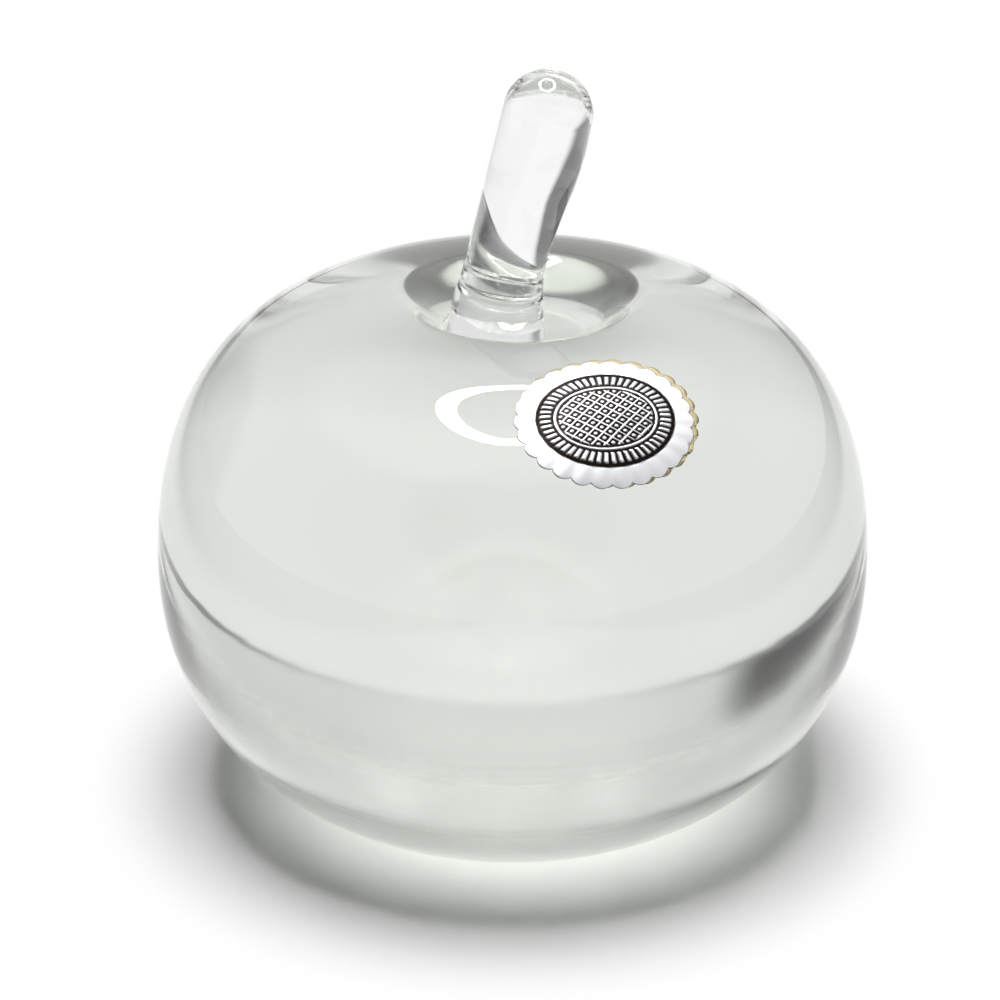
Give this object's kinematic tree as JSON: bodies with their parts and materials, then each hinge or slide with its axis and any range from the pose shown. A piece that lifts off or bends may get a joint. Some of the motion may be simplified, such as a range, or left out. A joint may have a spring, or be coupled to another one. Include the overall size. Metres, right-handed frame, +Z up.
{
  "type": "glass apple ornament",
  "caption": "Solid clear glass apple paperweight with a fused bent glass stem and a small scalloped foil label on its shoulder.",
  "frame": {"origin": "on the surface it stands on, under the middle of the apple", "axes": "+Z up along the apple's axis, +X to the viewer's right, +Y away from the viewer, who sees the label at the front right"},
  "size_m": [0.095, 0.095, 0.1005],
  "materials": {
    "clear_glass": "polished",
    "stem_glass": "polished",
    "label_paper": "uncoated paper",
    "label_foil": "embossed foil"
  },
  "bodies": {
    "root": {"apple_body": "clear_glass", "stem": "stem_glass", "label_paper": "label_paper", "label_foil": "label_foil"}
  },
  "joints": []
}
